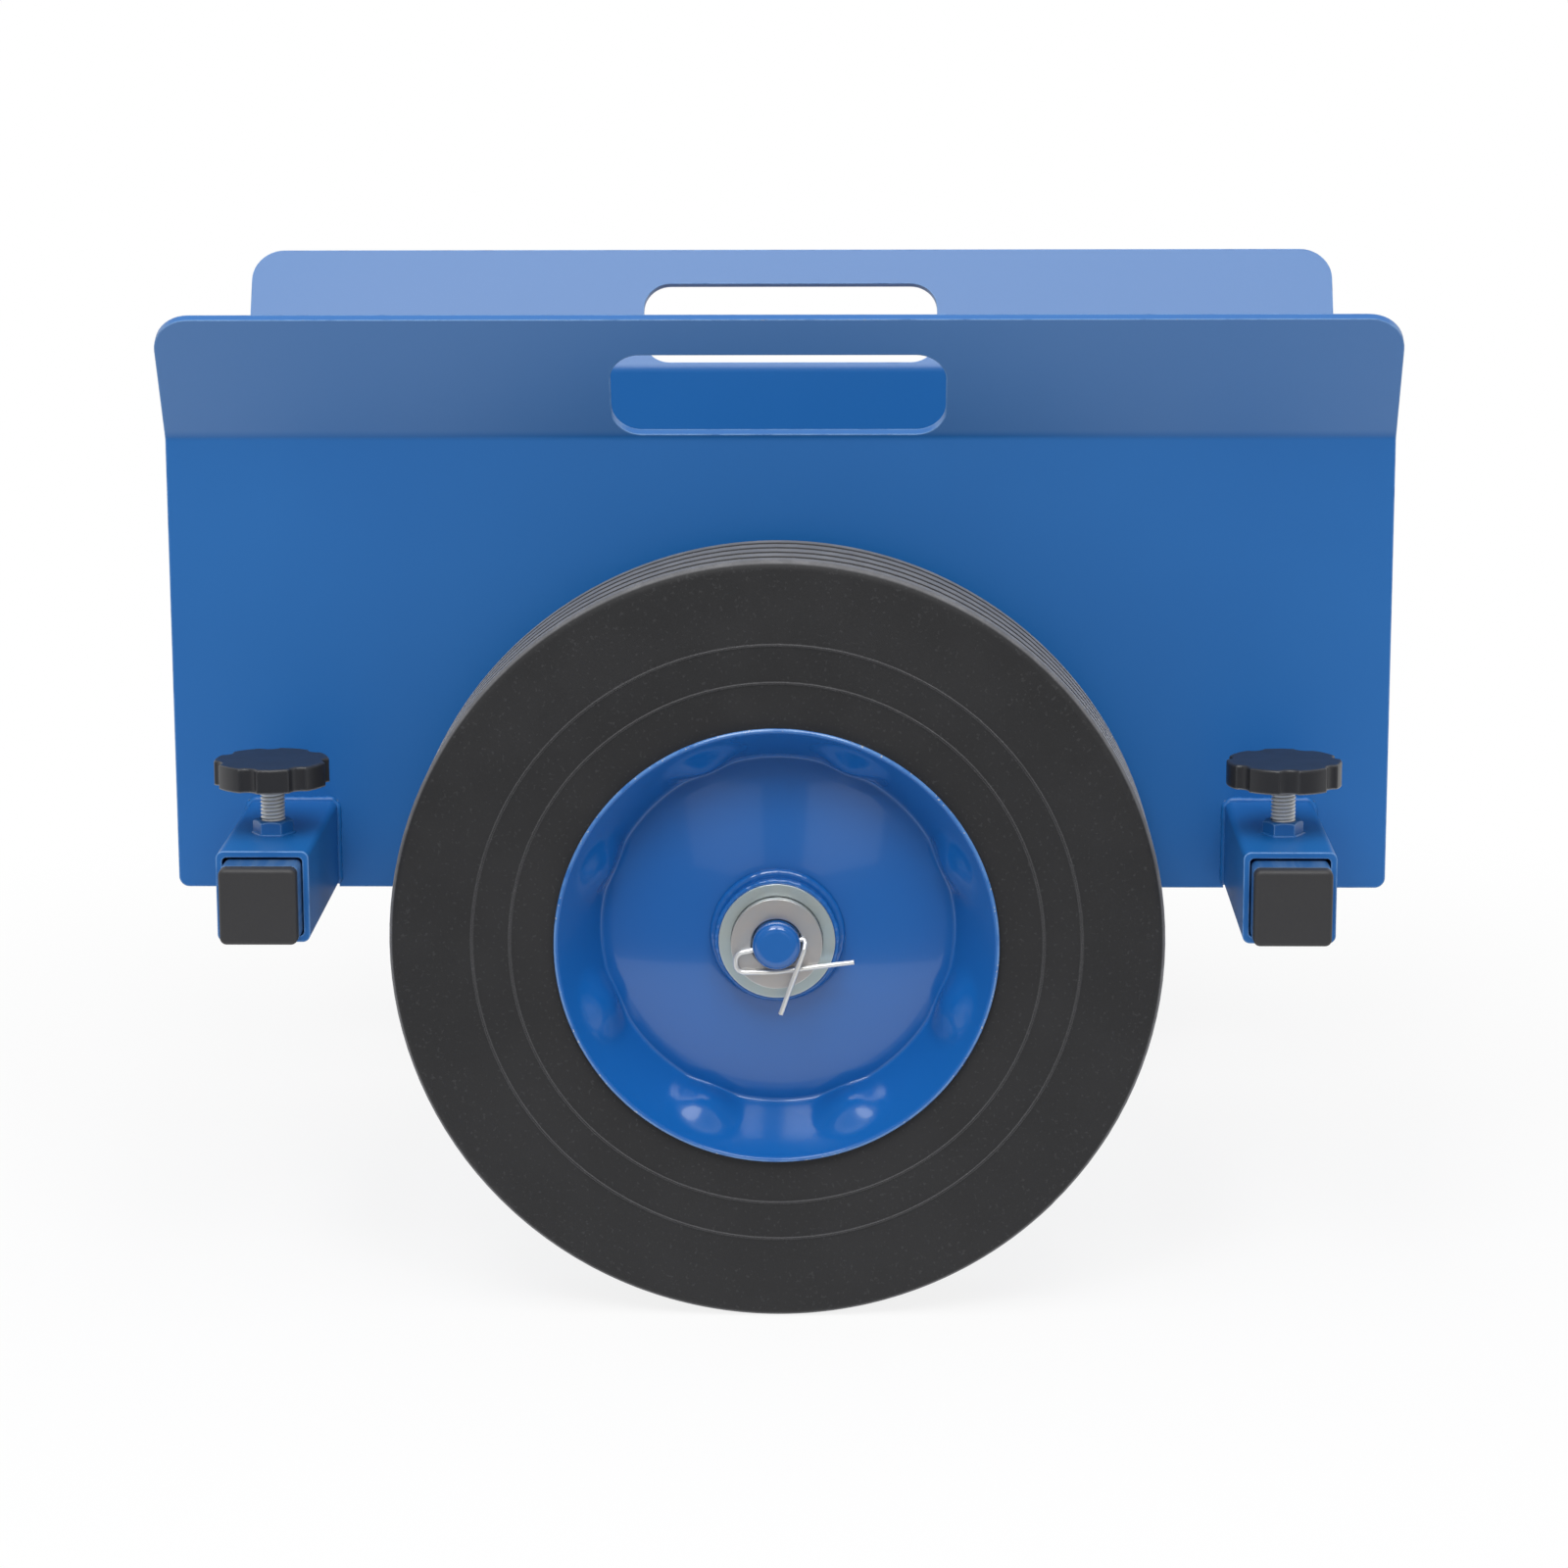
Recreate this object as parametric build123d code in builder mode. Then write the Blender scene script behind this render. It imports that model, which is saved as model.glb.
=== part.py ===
from build123d import *

import os
from math import acos, cos, degrees, radians, sin, tan

# A two-wheeled dolly that carries a board on edge between two flared side panels.
# The rear half slides in two square sleeves on the front half, and two clamp screws hold it.
# Millimetres: +X along the panels, +Y from the front panel to the rear one, +Z up from the floor.

# Side panels, bent from plate
panel_length = 410.0
panel_thickness = 3.0
panel_upright = 153.5
panel_above_axle = 5.0
panel_gap = 196.5
panel_top_corner = 12.0
panel_bottom_corner = 3.5
flange_length = 47.5
flange_flare = 28.5
bend_radius = 3.0

# Hand slots in the flanges
slot_length = 111.0
slot_height = 32.0
slot_corner = 10.0
slot_above_bend = 1.5

# Solid rubber tyres
wheel_diameter = 254.0
tyre_width = 48.2
tyre_shoulder = 3.0
sidewall_taper = 1.0
tyre_from_panel = 15.0
tyre_fit = 0.1
groove_count = 4
groove_pitch = 9.6
groove_width = 2.4
groove_depth = 2.0
rib_edge = 0.7
outer_ring_radius = 99.7
inner_ring_radius = 87.3
ring_width = 0.6
ring_height = 0.3

# Pressed wheel discs, two to a wheel, back to back
rim_radius = 71.6
rim_proud = 2.9
rim_sheet = 1.5
crease_radius = 58.2
crease_bend = 1.0
dome_slope = 12.0
dome_below_hub = 8.4
hub_bend = 1.5
hub_lip = 3.5
dimple_count = 8
dimple_reach = 12.5
dimple_depth = 3.4
dimple_from_crease = 9.0

# Hub tubes and flanged ball bearings
hub_length = 32.4
hub_wall = 2.6
bearing_diameter = 34.9
bearing_depth = 11.0
bearing_flange_diameter = 38.2
bearing_flange_thickness = 1.2
bearing_fit = 0.03
ball_diameter = 6.35
ball_count = 9
ball_pitch_diameter = 26.0
ball_depth = 6.0
race_thickness = 3.0
race_proud = 0.9
shell_thickness = 2.4
running_clearance = 0.05

# Stub axles and the pieces on them
axle_diameter = 15.88
axle_overhang = 5.5
axle_round = 3.0
axle_plate_thickness = 6.0
axle_plate_width = 90.0
axle_plate_height = 80.0
axle_tongue_radius = 22.0
weld_gap = 0.1
collar_diameter = 24.0
washer_diameter = 30.0
washer_thickness = 3.0
washer_play = 0.56

# Wire retaining pins
wire_diameter = 1.6
wire_play = 0.15
wire_from_washer = 1.4
wire_clear = 0.3
pin_slope = 12.6
pin_loop_reach = 5.5
pin_loop_drop = 0.3
pin_loop_bend = 2.9
pin_sweep_bend = 10.0
pin_leg_reach = 17.4
pin_leg_lift = 3.3
pin_exit_reach = 1.7
pin_exit_bend = 1.2
pin_cross_reach = 1.1
pin_cross_drop = 1.2
pin_cross_lift = 1.9
pin_tail_side = 1.3
pin_tail_drop = 22.7
pin_tail_lift = 2.6

# Slide tubes and the sleeves that they run in
tube_size = 25.0
tube_wall = 2.0
tube_corner = 2.0
tube_from_end = 39.6
slide_play = 0.5
seat_gap = 0.1
sleeve_wall = 2.0
sleeve_corner = 2.5
sleeve_reach = 78.7
tube_reach = 8.8

# Plastic tube caps
cap_head = 4.7
cap_corner = 2.2
cap_edge = 1.4
plug_depth = 14.0
plug_core = 15.0
plug_fins = 3
fin_thickness = 1.6
plug_fit = 0.05

# Clamp nuts, screws and knobs
screw_diameter = 8.0
screw_chamfer = 0.8
screw_from_panel = 50.0
screw_in_knob = 5.5
thread_play = 0.05
sleeve_hole_play = 0.5
tip_gap = 0.1
nut_across_flats = 11.5
nut_height = 4.5
nut_chamfer = 1.1
thread_shown = 9.6
knob_diameter = 37.5
knob_height = 8.0
knob_lobes = 7
scallop_radius = 3.8
scallop_depth = 1.8
lobe_round = 0.8
knob_edge = 0.8
boss_diameter = 24.0
boss_tip = 10.5
boss_height = 2.5
left_knob_turn = 8.5
right_knob_turn = -25.2

# Sizes that follow from those above
axle_height = wheel_diameter / 2
axle_radius = axle_diameter / 2
panel_bottom = axle_height + panel_above_axle
bend_height = panel_bottom + panel_upright
wheel_middle = tyre_from_panel + tyre_width / 2
lip_out = tyre_width / 2 + rim_proud
hub_end = hub_length / 2
hub_radius = bearing_diameter / 2 + hub_wall
flange_out = hub_end + bearing_flange_thickness
race_out = flange_out + race_proud
race_inside = hub_end - bearing_depth
ball_out = hub_end - ball_depth
washer_out = wheel_middle + race_out + washer_thickness
axle_length = washer_out + axle_overhang
pin_out = washer_out + wire_from_washer
rim_lip = Vector(rim_radius, lip_out)
crease_middle = Vector(crease_radius, rim_sheet + crease_bend)
lip_from_crease = rim_lip - crease_middle
foot_turn = degrees(acos(crease_bend / lip_from_crease.length))
wall_foot = crease_middle + (lip_from_crease.normalized() * crease_bend).rotate(Axis.Z, -foot_turn)
up_wall = (rim_lip - wall_foot).normalized()
into_dish = Vector(-up_wall.Y, up_wall.X)
tube_spacing = panel_length - 2 * tube_from_end
sleeve_bore = tube_size + 2 * slide_play
sleeve_size = sleeve_bore + 2 * sleeve_wall
sleeve_middle = panel_bottom + sleeve_size / 2
sleeve_top = panel_bottom + sleeve_size
tube_middle = panel_bottom + sleeve_wall + seat_gap + tube_size / 2
tube_top = tube_middle + tube_size / 2
nut_top = sleeve_top + nut_height
knob_bottom = nut_top + thread_shown + boss_height
cap_out = sleeve_reach + tube_reach + cap_head
wheel_out = max(wheel_middle + lip_out, axle_length)

# The floor under the middle of the whole dolly is the origin
total_depth = cap_out + 2 * panel_thickness + panel_gap + wheel_out
front_face = cap_out - total_depth / 2
rear_face = front_face + 2 * panel_thickness + panel_gap
front_inside = front_face + panel_thickness
rear_inside = rear_face - panel_thickness
screw_place = front_face - screw_from_panel
tube_end = front_face - sleeve_reach - tube_reach

# Outer faces of the two panels at axle height, each looking away from the load
front_hub = Plane(origin=(0, front_face, axle_height), x_dir=(1, 0, 0), z_dir=(0, -1, 0))
rear_hub = Plane(origin=(0, rear_face, axle_height), x_dir=(-1, 0, 0), z_dir=(0, 1, 0))


def flipped(plane):
    """The same plane looking the other way, turned about its upright."""
    return Plane(origin=plane.origin, x_dir=plane.x_dir * -1, z_dir=plane.z_dir * -1)


def half_section(plane):
    """A plane through the wheel axis, with radius across it and distance out along it."""
    return Plane(origin=plane.origin, x_dir=plane.x_dir, z_dir=(0, 0, -1))


def turning_axis(plane):
    """The axis that a wheel on this plane turns about."""
    return Axis(plane.origin, plane.z_dir)


def wall_radius(out, behind):
    """Radius of the disc's conical wall at a distance out, on a surface that far behind its face."""
    start = rim_lip - into_dish * behind
    return start.X - (start.Y - out) * up_wall.X / up_wall.Y


def make_panel(hub, name, sleeve_notches):
    """Upright plate with its top flange bent outwards and a hand slot in the flange."""
    flare = radians(flange_flare)
    foot = panel_bottom - axle_height
    bend = bend_height - axle_height
    up = Vector(0, 0, 1)
    flange_plane = Plane(
        origin=hub.from_local_coords((0, bend, 0)),
        x_dir=hub.x_dir,
        z_dir=hub.z_dir * cos(flare) - up * sin(flare),
    )
    with BuildPart() as panel:
        with BuildSketch(Plane(origin=hub.origin, x_dir=hub.z_dir, z_dir=hub.x_dir * -1)):
            with BuildLine() as profile:
                Polyline(
                    (0, foot),
                    (0, bend),
                    (flange_length * sin(flare), bend + flange_length * cos(flare)),
                )
                fillet(profile.vertices().sort_by(Axis.Y)[1], radius=bend_radius)
                offset(amount=panel_thickness, side=Side.LEFT)
            make_face()
        extrude(amount=panel_length / 2, both=True)
        top_face = panel.faces().sort_by(Axis.Z)[-1]
        fillet(top_face.edges().filter_by(Axis.X, reverse=True), radius=panel_top_corner)
        bottom_face = panel.faces().sort_by(Axis.Z)[0]
        fillet(bottom_face.edges().filter_by(Axis.X, reverse=True), radius=panel_bottom_corner)
        with BuildSketch(flange_plane):
            with Locations((0, slot_above_bend + slot_height / 2)):
                RectangleRounded(slot_length, slot_height, slot_corner)
        extrude(amount=2 * panel_thickness, both=True, mode=Mode.SUBTRACT)
        if sleeve_notches:
            with BuildSketch(hub):
                with Locations((0, foot)):
                    with GridLocations(tube_spacing, 0, 2, 1):
                        Rectangle(sleeve_size + 2 * weld_gap, 2 * (sleeve_size + weld_gap))
            extrude(amount=2 * panel_thickness, both=True, mode=Mode.SUBTRACT)
    panel.part.label = name
    export_step(panel.part, f"parts/{name}.step")


def make_axle_plate(hub, name):
    """Doubler welded on the panel, with a tongue below the panel's edge that takes the axle."""
    with BuildPart() as plate:
        with BuildSketch(hub) as outline:
            Circle(axle_tongue_radius)
            with Locations((0, axle_plate_height)):
                Rectangle(axle_plate_width, axle_tongue_radius, align=(Align.CENTER, Align.MAX))
            make_hull()
            Circle(axle_radius + weld_gap, mode=Mode.SUBTRACT)
        extrude(amount=axle_plate_thickness)
    plate.part.label = name
    export_step(plate.part, f"parts/{name}.step")


def pin_direction(hub):
    """The way that the retaining pin's hole runs through the axle."""
    slope = radians(pin_slope)
    return hub.x_dir * cos(slope) + hub.y_dir * sin(slope)


def make_axle(hub, name):
    """Stub axle with a rounded end and a cross hole for the retaining pin."""
    with BuildPart() as axle:
        with BuildSketch(hub):
            Circle(axle_radius)
        extrude(amount=axle_length)
        end_face = axle.faces().sort_by(turning_axis(hub))[-1]
        fillet(end_face.edges(), radius=axle_round)
        with BuildSketch(Plane(origin=hub.from_local_coords((0, 0, pin_out)), z_dir=pin_direction(hub))):
            Circle(wire_diameter / 2 + wire_play)
        extrude(amount=axle_diameter, both=True, mode=Mode.SUBTRACT)
    axle.part.label = name
    export_step(axle.part, f"parts/{name}.step")


def make_ring(hub, name, start, length, outer_radius, bore_radius):
    """Plain turned ring on the axle: a collar or a washer."""
    with BuildPart() as ring:
        with BuildSketch(hub.offset(start)):
            Circle(outer_radius)
            Circle(bore_radius, mode=Mode.SUBTRACT)
        extrude(amount=length)
    ring.part.label = name
    export_step(ring.part, f"parts/{name}.step")


def make_retaining_pin(hub, name):
    """Bent wire: one leg through the axle and turned down, the other round under the axle."""
    slope = radians(pin_slope)
    under = -(axle_radius + wire_diameter / 2 + wire_clear)
    loop = axle_radius + pin_loop_reach
    exit_side = axle_radius + pin_exit_reach
    with BuildPart() as pin:
        with BuildLine(hub.offset(pin_out)) as route:
            FilletPolyline(
                (axle_radius + pin_leg_reach, under + pin_leg_lift, 0),
                (0, under, 0),
                (-loop, under - pin_loop_drop, 0),
                (-loop, -loop * tan(slope), 0),
                (exit_side, exit_side * tan(slope), 0),
                (axle_radius + pin_cross_reach, -pin_cross_drop, pin_cross_lift),
                (pin_tail_side, -pin_tail_drop, pin_tail_lift),
                radius=(pin_sweep_bend, pin_loop_bend, pin_loop_bend, pin_exit_bend, pin_exit_bend),
            )
        with BuildSketch(Plane(origin=route.line @ 0, z_dir=route.line % 0)):
            Circle(wire_diameter / 2)
        sweep(path=route.line)
    pin.part.label = name
    export_step(pin.part, f"parts/{name}.step")


def make_tyre(wheel, name):
    """Solid tyre with a ribbed flat tread and two raised rings on each sidewall."""
    seat_radius = wall_radius(tyre_width / 2, rim_sheet + tyre_fit)
    tread_half = tyre_width / 2 - sidewall_taper
    with BuildPart() as tyre:
        with BuildSketch(half_section(wheel)) as profile:
            with BuildLine():
                Polyline(
                    (wall_radius(0, rim_sheet + tyre_fit), 0),
                    (seat_radius, tyre_width / 2),
                    (outer_ring_radius, tyre_width / 2),
                    (axle_height, tread_half),
                    (axle_height, -tread_half),
                    (outer_ring_radius, -tyre_width / 2),
                    (seat_radius, -tyre_width / 2),
                    close=True,
                )
            make_face()
            fillet(profile.vertices().group_by(Axis.X)[-1], radius=tyre_shoulder)
            with Locations((axle_height, 0)):
                with GridLocations(0, groove_pitch, 1, groove_count):
                    Rectangle(2 * groove_depth, groove_width, mode=Mode.SUBTRACT)
            rib_corners = profile.vertices().group_by(Axis.X)[-1].sort_by(Axis.Y)[1:-1]
            fillet(rib_corners, radius=rib_edge)
            for ring_radius in (outer_ring_radius, inner_ring_radius):
                with Locations((ring_radius, 0)):
                    Rectangle(ring_width, tyre_width + 2 * ring_height)
        revolve(axis=turning_axis(wheel))
    tyre.part.label = name
    export_step(tyre.part, f"parts/{name}.step")


def make_rim_disc(face, name):
    """Pressed disc: conical wall with dimples, a tight crease, a shallow dome and a lip round the hub."""
    axis = turning_axis(face)
    section = half_section(face)
    slope = radians(dome_slope)
    up_dome = Vector(-cos(slope), sin(slope))
    crease_floor = crease_middle - Vector(0, crease_bend)
    dome_foot = crease_middle - Vector(sin(slope), cos(slope)) * crease_bend
    hub_edge = Vector(hub_radius + weld_gap, hub_end - dome_below_hub)
    ball_radius = (dimple_reach**2 + dimple_depth**2) / (2 * dimple_depth)
    ball_centre = wall_foot + up_wall * dimple_from_crease + into_dish * (dimple_depth - ball_radius)
    half_sheet = into_dish * (rim_sheet / 2)
    under_crease = crease_floor - Vector(0, rim_sheet / 2)
    under_dome = under_crease + up_dome * dimple_reach
    first_dimple = 180 / dimple_count
    with BuildPart() as bulges:
        with Locations(face.offset(ball_centre.Y)):
            with PolarLocations(ball_centre.X, dimple_count, start_angle=first_dimple):
                Sphere(ball_radius)
        with BuildSketch(section):
            with BuildLine():
                Polyline(
                    rim_lip - half_sheet,
                    wall_foot - half_sheet,
                    under_crease,
                    under_dome,
                    (under_dome.X, lip_out),
                    close=True,
                )
            make_face()
        revolve(axis=axis, mode=Mode.INTERSECT)
    with BuildPart() as disc:
        with BuildSketch(section):
            with BuildLine() as profile:
                Line(rim_lip, wall_foot)
                ThreePointArc(wall_foot, crease_floor, dome_foot)
                TangentArc(dome_foot, hub_edge, tangent=up_dome)
                Line(hub_edge, hub_edge - Vector(0, hub_lip))
                hub_corner = profile.vertices().group_by(Axis.X)[0].sort_by(Axis.Y)[-1]
                fillet(hub_corner, radius=hub_bend)
                offset(amount=rim_sheet, side=Side.LEFT)
            make_face()
        revolve(axis=axis)
        add(bulges.part)
        with Locations(face.offset(ball_centre.Y)):
            with PolarLocations(ball_centre.X, dimple_count, start_angle=first_dimple):
                Sphere(ball_radius - rim_sheet, mode=Mode.SUBTRACT)
    disc.part.label = name
    export_step(disc.part, f"parts/{name}.step")


def make_hub_tube(wheel, name):
    """Tube through both discs, open at each end for a bearing."""
    with BuildPart() as tube:
        with BuildSketch(wheel):
            Circle(hub_radius)
            Circle(bearing_diameter / 2 + bearing_fit, mode=Mode.SUBTRACT)
        extrude(amount=hub_end, both=True)
    tube.part.label = name
    export_step(tube.part, f"parts/{name}.step")


def make_bearing_shell(face, name):
    """Pressed outer shell of a bearing, with a flange that seats on the end of the hub tube."""
    outer = bearing_diameter / 2
    inner = outer - shell_thickness
    with BuildPart() as shell:
        with BuildSketch(half_section(face)):
            with BuildLine():
                Polyline(
                    (inner, race_inside),
                    (outer, race_inside),
                    (outer, hub_end),
                    (bearing_flange_diameter / 2, hub_end),
                    (bearing_flange_diameter / 2, flange_out),
                    (inner, flange_out),
                    close=True,
                )
            make_face()
            with Locations((ball_pitch_diameter / 2, ball_out)):
                Circle(ball_diameter / 2 + running_clearance, mode=Mode.SUBTRACT)
        revolve(axis=turning_axis(face))
    shell.part.label = name
    export_step(shell.part, f"parts/{name}.step")


def make_bearing_race(face, name):
    """Inner race of a bearing, which stays on the axle while the wheel turns."""
    bore = axle_radius + running_clearance
    with BuildPart() as race:
        with BuildSketch(half_section(face)):
            with Locations((bore, race_inside)):
                Rectangle(race_thickness, race_out - race_inside, align=Align.MIN)
            with Locations((ball_pitch_diameter / 2, ball_out)):
                Circle(ball_diameter / 2 + running_clearance, mode=Mode.SUBTRACT)
        revolve(axis=turning_axis(face))
    race.part.label = name
    export_step(race.part, f"parts/{name}.step")


def make_bearing_balls(face, name):
    """The balls of one bearing."""
    with BuildPart() as balls:
        with Locations(face.offset(ball_out)):
            with PolarLocations(ball_pitch_diameter / 2, ball_count):
                Sphere(ball_diameter / 2)
    balls.part.label = name
    export_step(balls.part, f"parts/{name}.step")


def make_sleeve(side, name):
    """Square sleeve through the front panel, with a hole in its top for the clamp screw."""
    start = Plane(origin=(side, front_inside, sleeve_middle), x_dir=(1, 0, 0), z_dir=(0, -1, 0))
    with BuildPart() as sleeve:
        with BuildSketch(start):
            RectangleRounded(sleeve_size, sleeve_size, sleeve_corner)
            RectangleRounded(sleeve_bore, sleeve_bore, sleeve_corner - sleeve_wall / 2, mode=Mode.SUBTRACT)
        extrude(amount=panel_thickness + sleeve_reach)
        with BuildSketch(Plane.XY.offset(sleeve_middle)):
            with Locations((side, screw_place)):
                Circle(screw_diameter / 2 + sleeve_hole_play)
        extrude(amount=sleeve_size, mode=Mode.SUBTRACT)
    sleeve.part.label = name
    export_step(sleeve.part, f"parts/{name}.step")


def make_slide_tube(side, name):
    """Square tube from the rear panel's inner face, through the sleeve and a little beyond."""
    start = Plane(origin=(side, rear_inside, tube_middle), x_dir=(1, 0, 0), z_dir=(0, -1, 0))
    bore = tube_size - 2 * tube_wall
    with BuildPart() as tube:
        with BuildSketch(start):
            RectangleRounded(tube_size, tube_size, tube_corner)
            RectangleRounded(bore, bore, tube_corner / 2, mode=Mode.SUBTRACT)
        extrude(amount=rear_inside - tube_end)
    tube.part.label = name
    export_step(tube.part, f"parts/{name}.step")


def make_tube_cap(side, name):
    """Square plastic cap with a finned plug that grips inside the tube."""
    end = Plane(origin=(side, tube_end, tube_middle), x_dir=(1, 0, 0), z_dir=(0, -1, 0))
    bore = tube_size - 2 * (tube_wall + plug_fit)
    fin_pitch = plug_depth / plug_fins
    with BuildPart() as cap:
        with BuildSketch(end):
            RectangleRounded(tube_size, tube_size, cap_corner)
        extrude(amount=cap_head)
        front = cap.faces().sort_by(Axis.Y)[0]
        fillet(front.edges(), radius=cap_edge)
        with BuildSketch(end):
            Rectangle(plug_core, plug_core)
        extrude(amount=-plug_depth)
        for fin in range(plug_fins):
            with BuildSketch(end.offset(-fin_pitch * (fin + 1))):
                RectangleRounded(bore, bore, tube_corner / 2)
            extrude(amount=fin_thickness)
    cap.part.label = name
    export_step(cap.part, f"parts/{name}.step")


def make_clamp_nut(side, name):
    """Thin hexagon nut welded on top of the sleeve, a flat to the front."""
    across_corners = nut_across_flats / cos(radians(30))
    seat = Plane(origin=(side, screw_place, sleeve_top))
    with BuildPart() as nut:
        with BuildSketch(seat):
            Circle(across_corners / 2)
        extrude(amount=nut_height)
        chamfer(nut.edges().sort_by(Axis.Z)[-1], length=nut_chamfer * tan(radians(30)), length2=nut_chamfer)
        with BuildSketch(seat):
            RegularPolygon(nut_across_flats / 2, 6, major_radius=False)
        extrude(amount=nut_height, mode=Mode.INTERSECT)
        with BuildSketch(seat):
            Circle(screw_diameter / 2 + thread_play)
        extrude(amount=nut_height, mode=Mode.SUBTRACT)
    nut.part.label = name
    export_step(nut.part, f"parts/{name}.step")


def make_clamp_screw(side, name):
    """Clamp screw, at its thread's outer diameter, from the tube's top up into the knob."""
    tip = Plane(origin=(side, screw_place, tube_top + tip_gap))
    with BuildPart() as screw:
        with BuildSketch(tip):
            Circle(screw_diameter / 2)
        extrude(amount=knob_bottom + screw_in_knob - tube_top - tip_gap)
        chamfer(screw.edges().sort_by(Axis.Z)[0], length=screw_chamfer)
    screw.part.label = name
    export_step(screw.part, f"parts/{name}.step")


def make_knob(side, name, turn):
    """Scalloped knob with a cone-shaped boss below that takes the screw's upper end."""
    underside = Plane(origin=(side, screw_place, knob_bottom))
    first_scallop = 180 / knob_lobes - 90 + turn
    with BuildPart() as knob:
        with BuildSketch(underside) as outline:
            Circle(knob_diameter / 2)
            with PolarLocations(
                knob_diameter / 2 + scallop_radius - scallop_depth, knob_lobes, start_angle=first_scallop
            ):
                Circle(scallop_radius, mode=Mode.SUBTRACT)
            fillet(outline.vertices(), radius=lobe_round)
        extrude(amount=knob_height)
        fillet(knob.faces().sort_by(Axis.Z)[-1].edges(), radius=knob_edge)
        with BuildSketch(underside):
            Circle(boss_diameter / 2)
        with BuildSketch(underside.offset(-boss_height)):
            Circle(boss_tip / 2)
        loft()
        with BuildSketch(underside.offset(-boss_height)):
            Circle(screw_diameter / 2 + running_clearance)
        extrude(amount=boss_height + screw_in_knob + tip_gap, mode=Mode.SUBTRACT)
    knob.part.label = name
    export_step(knob.part, f"parts/{name}.step")


def make_wheel(hub, end):
    """A wheel and its bearings, named for the end of the dolly that it stands at."""
    wheel = hub.offset(wheel_middle)
    make_tyre(wheel, f"{end}_tyre")
    make_hub_tube(wheel, f"{end}_hub_tube")
    for face, side in ((wheel, "outer"), (flipped(wheel), "inner")):
        make_rim_disc(face, f"{end}_rim_{side}_disc")
        make_bearing_shell(face, f"{end}_{side}_bearing_shell")
        make_bearing_race(face, f"{end}_{side}_bearing_race")
        make_bearing_balls(face, f"{end}_{side}_bearing_balls")


def make_half(hub, end, sleeve_notches):
    """One panel with its stub axle and wheel."""
    collar_length = wheel_middle - race_out - axle_plate_thickness
    make_panel(hub, f"{end}_panel", sleeve_notches)
    make_axle_plate(hub, f"{end}_axle_plate")
    make_axle(hub, f"{end}_axle")
    make_ring(
        hub,
        f"{end}_axle_collar",
        start=axle_plate_thickness,
        length=collar_length,
        outer_radius=collar_diameter / 2,
        bore_radius=axle_radius + running_clearance,
    )
    make_ring(
        hub,
        f"{end}_axle_washer",
        start=washer_out - washer_thickness,
        length=washer_thickness,
        outer_radius=washer_diameter / 2,
        bore_radius=axle_radius + washer_play,
    )
    make_retaining_pin(hub, f"{end}_retaining_pin")
    make_wheel(hub, end)


os.makedirs("parts", exist_ok=True)
make_half(front_hub, "front", sleeve_notches=True)
make_half(rear_hub, "rear", sleeve_notches=False)
for end, side, turn in (
    ("left", -tube_spacing / 2, left_knob_turn),
    ("right", tube_spacing / 2, right_knob_turn),
):
    make_sleeve(side, f"{end}_sleeve")
    make_slide_tube(side, f"{end}_slide_tube")
    make_tube_cap(side, f"{end}_tube_cap")
    make_clamp_nut(side, f"{end}_clamp_nut")
    make_clamp_screw(side, f"{end}_clamp_screw")
    make_knob(side, f"{end}_knob", turn)
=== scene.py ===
"""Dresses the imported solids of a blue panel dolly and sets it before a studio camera."""

from __future__ import annotations

import logging
import math
from collections.abc import Sequence
from dataclasses import dataclass
from enum import Enum

import bmesh
import bpy
from mathutils import Matrix, Vector

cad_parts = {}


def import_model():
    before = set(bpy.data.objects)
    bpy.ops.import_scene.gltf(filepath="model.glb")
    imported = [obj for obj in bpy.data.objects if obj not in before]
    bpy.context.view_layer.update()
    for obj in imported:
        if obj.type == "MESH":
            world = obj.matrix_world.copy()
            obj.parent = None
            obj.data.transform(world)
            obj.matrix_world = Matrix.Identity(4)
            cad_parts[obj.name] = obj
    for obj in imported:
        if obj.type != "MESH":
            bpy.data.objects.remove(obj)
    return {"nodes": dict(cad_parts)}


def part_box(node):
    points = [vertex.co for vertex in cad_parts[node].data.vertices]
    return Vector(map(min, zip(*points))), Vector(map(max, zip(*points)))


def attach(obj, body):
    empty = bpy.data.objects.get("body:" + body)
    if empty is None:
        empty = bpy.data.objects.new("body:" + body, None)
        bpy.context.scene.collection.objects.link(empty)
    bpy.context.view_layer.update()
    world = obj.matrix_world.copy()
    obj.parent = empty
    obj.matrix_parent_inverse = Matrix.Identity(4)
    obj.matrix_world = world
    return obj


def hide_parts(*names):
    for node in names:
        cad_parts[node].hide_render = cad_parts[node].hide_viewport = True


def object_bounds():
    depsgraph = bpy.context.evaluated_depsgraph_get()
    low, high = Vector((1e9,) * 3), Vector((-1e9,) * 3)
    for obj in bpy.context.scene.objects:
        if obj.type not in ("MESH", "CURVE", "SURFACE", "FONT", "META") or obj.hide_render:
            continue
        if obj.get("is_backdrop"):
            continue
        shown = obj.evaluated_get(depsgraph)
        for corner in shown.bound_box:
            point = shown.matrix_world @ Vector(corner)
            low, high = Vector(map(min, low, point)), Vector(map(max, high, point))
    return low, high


LOG = logging.getLogger("panel_dolly")
MM = 0.001
IMAGE_PIXELS = 1600
SENSOR_MM = 36.0
FLANGE_RISE = 41.7 * MM
MERGE_DISTANCE = 1e-6
BEVEL_SAMPLES = 6
CREVICE_SHADE_SAMPLES = 8
EDGE_BAND = (0.004, 0.2)
EDGE_ROUNDING = 0.7
WHITE = (1.0, 1.0, 1.0, 1.0)

Material = bpy.types.Material
Object = bpy.types.Object
Colour = tuple[float, float, float, float]
Point = tuple[float, float, float]
Band = tuple[float, float]
Face = tuple[int, ...]
Values = dict[str | int, object]


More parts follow.
